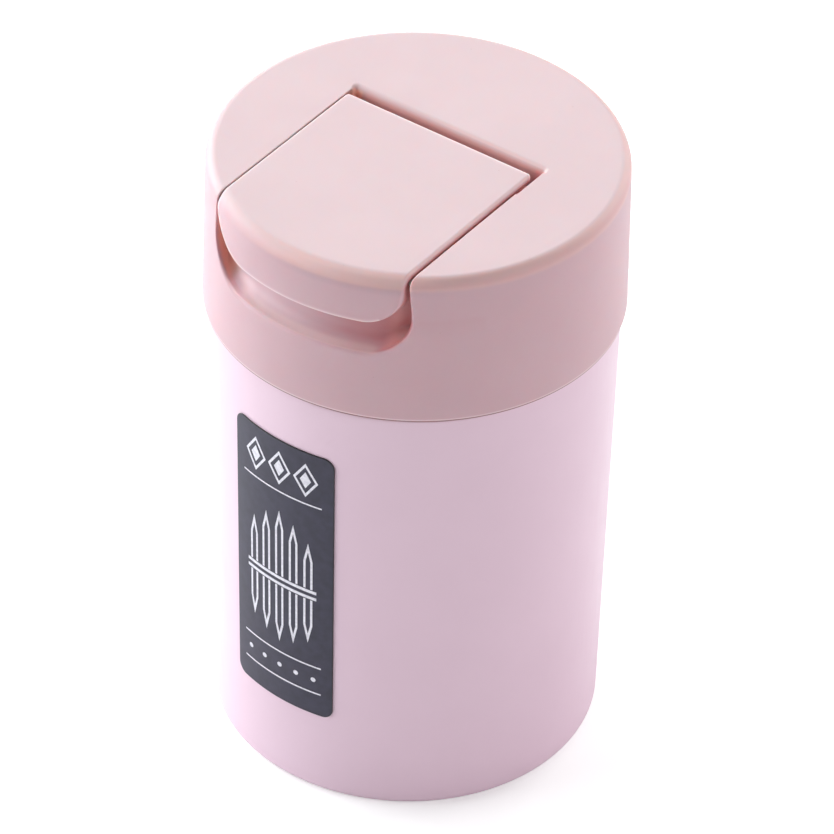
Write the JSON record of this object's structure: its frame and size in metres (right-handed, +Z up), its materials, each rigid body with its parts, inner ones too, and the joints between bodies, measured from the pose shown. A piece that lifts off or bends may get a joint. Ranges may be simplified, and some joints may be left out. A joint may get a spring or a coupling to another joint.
{
  "type": "toothpick holder",
  "caption": "Round lidded toothpick holder: a tapered cup, a push-on lid and a thumb-opened flap that raises the picks on a tray.",
  "frame": {"origin": "middle of the foot ring, on the surface the holder stands on", "axes": "+Z up along the cup; the flap's thumb lip faces -Y and its hinge runs along X"},
  "size_m": [0.0532, 0.0532, 0.086],
  "materials": {
    "cup_plastic": "satin moulded",
    "lid_plastic": "fine matte moulded",
    "inner_plastic": "natural moulded",
    "sticker": "satin printed film",
    "steel": "plain drawn"
  },
  "bodies": {
    "cup": {"body_cup": "cup_plastic", "front_label": "sticker"},
    "lid": {"lid_shell": "lid_plastic", "lid_deck": "inner_plastic", "deck_screw_1": "steel", "deck_screw_2": "steel", "deck_screw_3": "steel", "deck_screw_4": "steel", "pick_sleeve": "inner_plastic", "hinge_pin": "steel"},
    "flap": {"flap_cover": "lid_plastic", "flap_liner": "inner_plastic"},
    "cradle": {"lift_cradle": "inner_plastic"}
  },
  "joints": [
    {"name": "lid_lift", "type": "slide", "parent": "cup", "child": "lid", "axis": [0, 0, 1], "range_m": [0, 0.06]},
    {"name": "flap_hinge", "type": "hinge", "parent": "lid", "child": "flap", "pos_m": [0, 0.0026, 0.0832], "axis": [-1, 0, 0], "range_deg": [0, 95]},
    {"name": "cradle_slide", "type": "slide", "parent": "lid", "child": "cradle", "axis": [0, 0, 1], "range_m": [0, 0.0177]}
  ],
  "couplings": [
    {"joint": "cradle_slide", "follows": "flap_hinge", "m_per_rad": 0.010675}
  ]
}
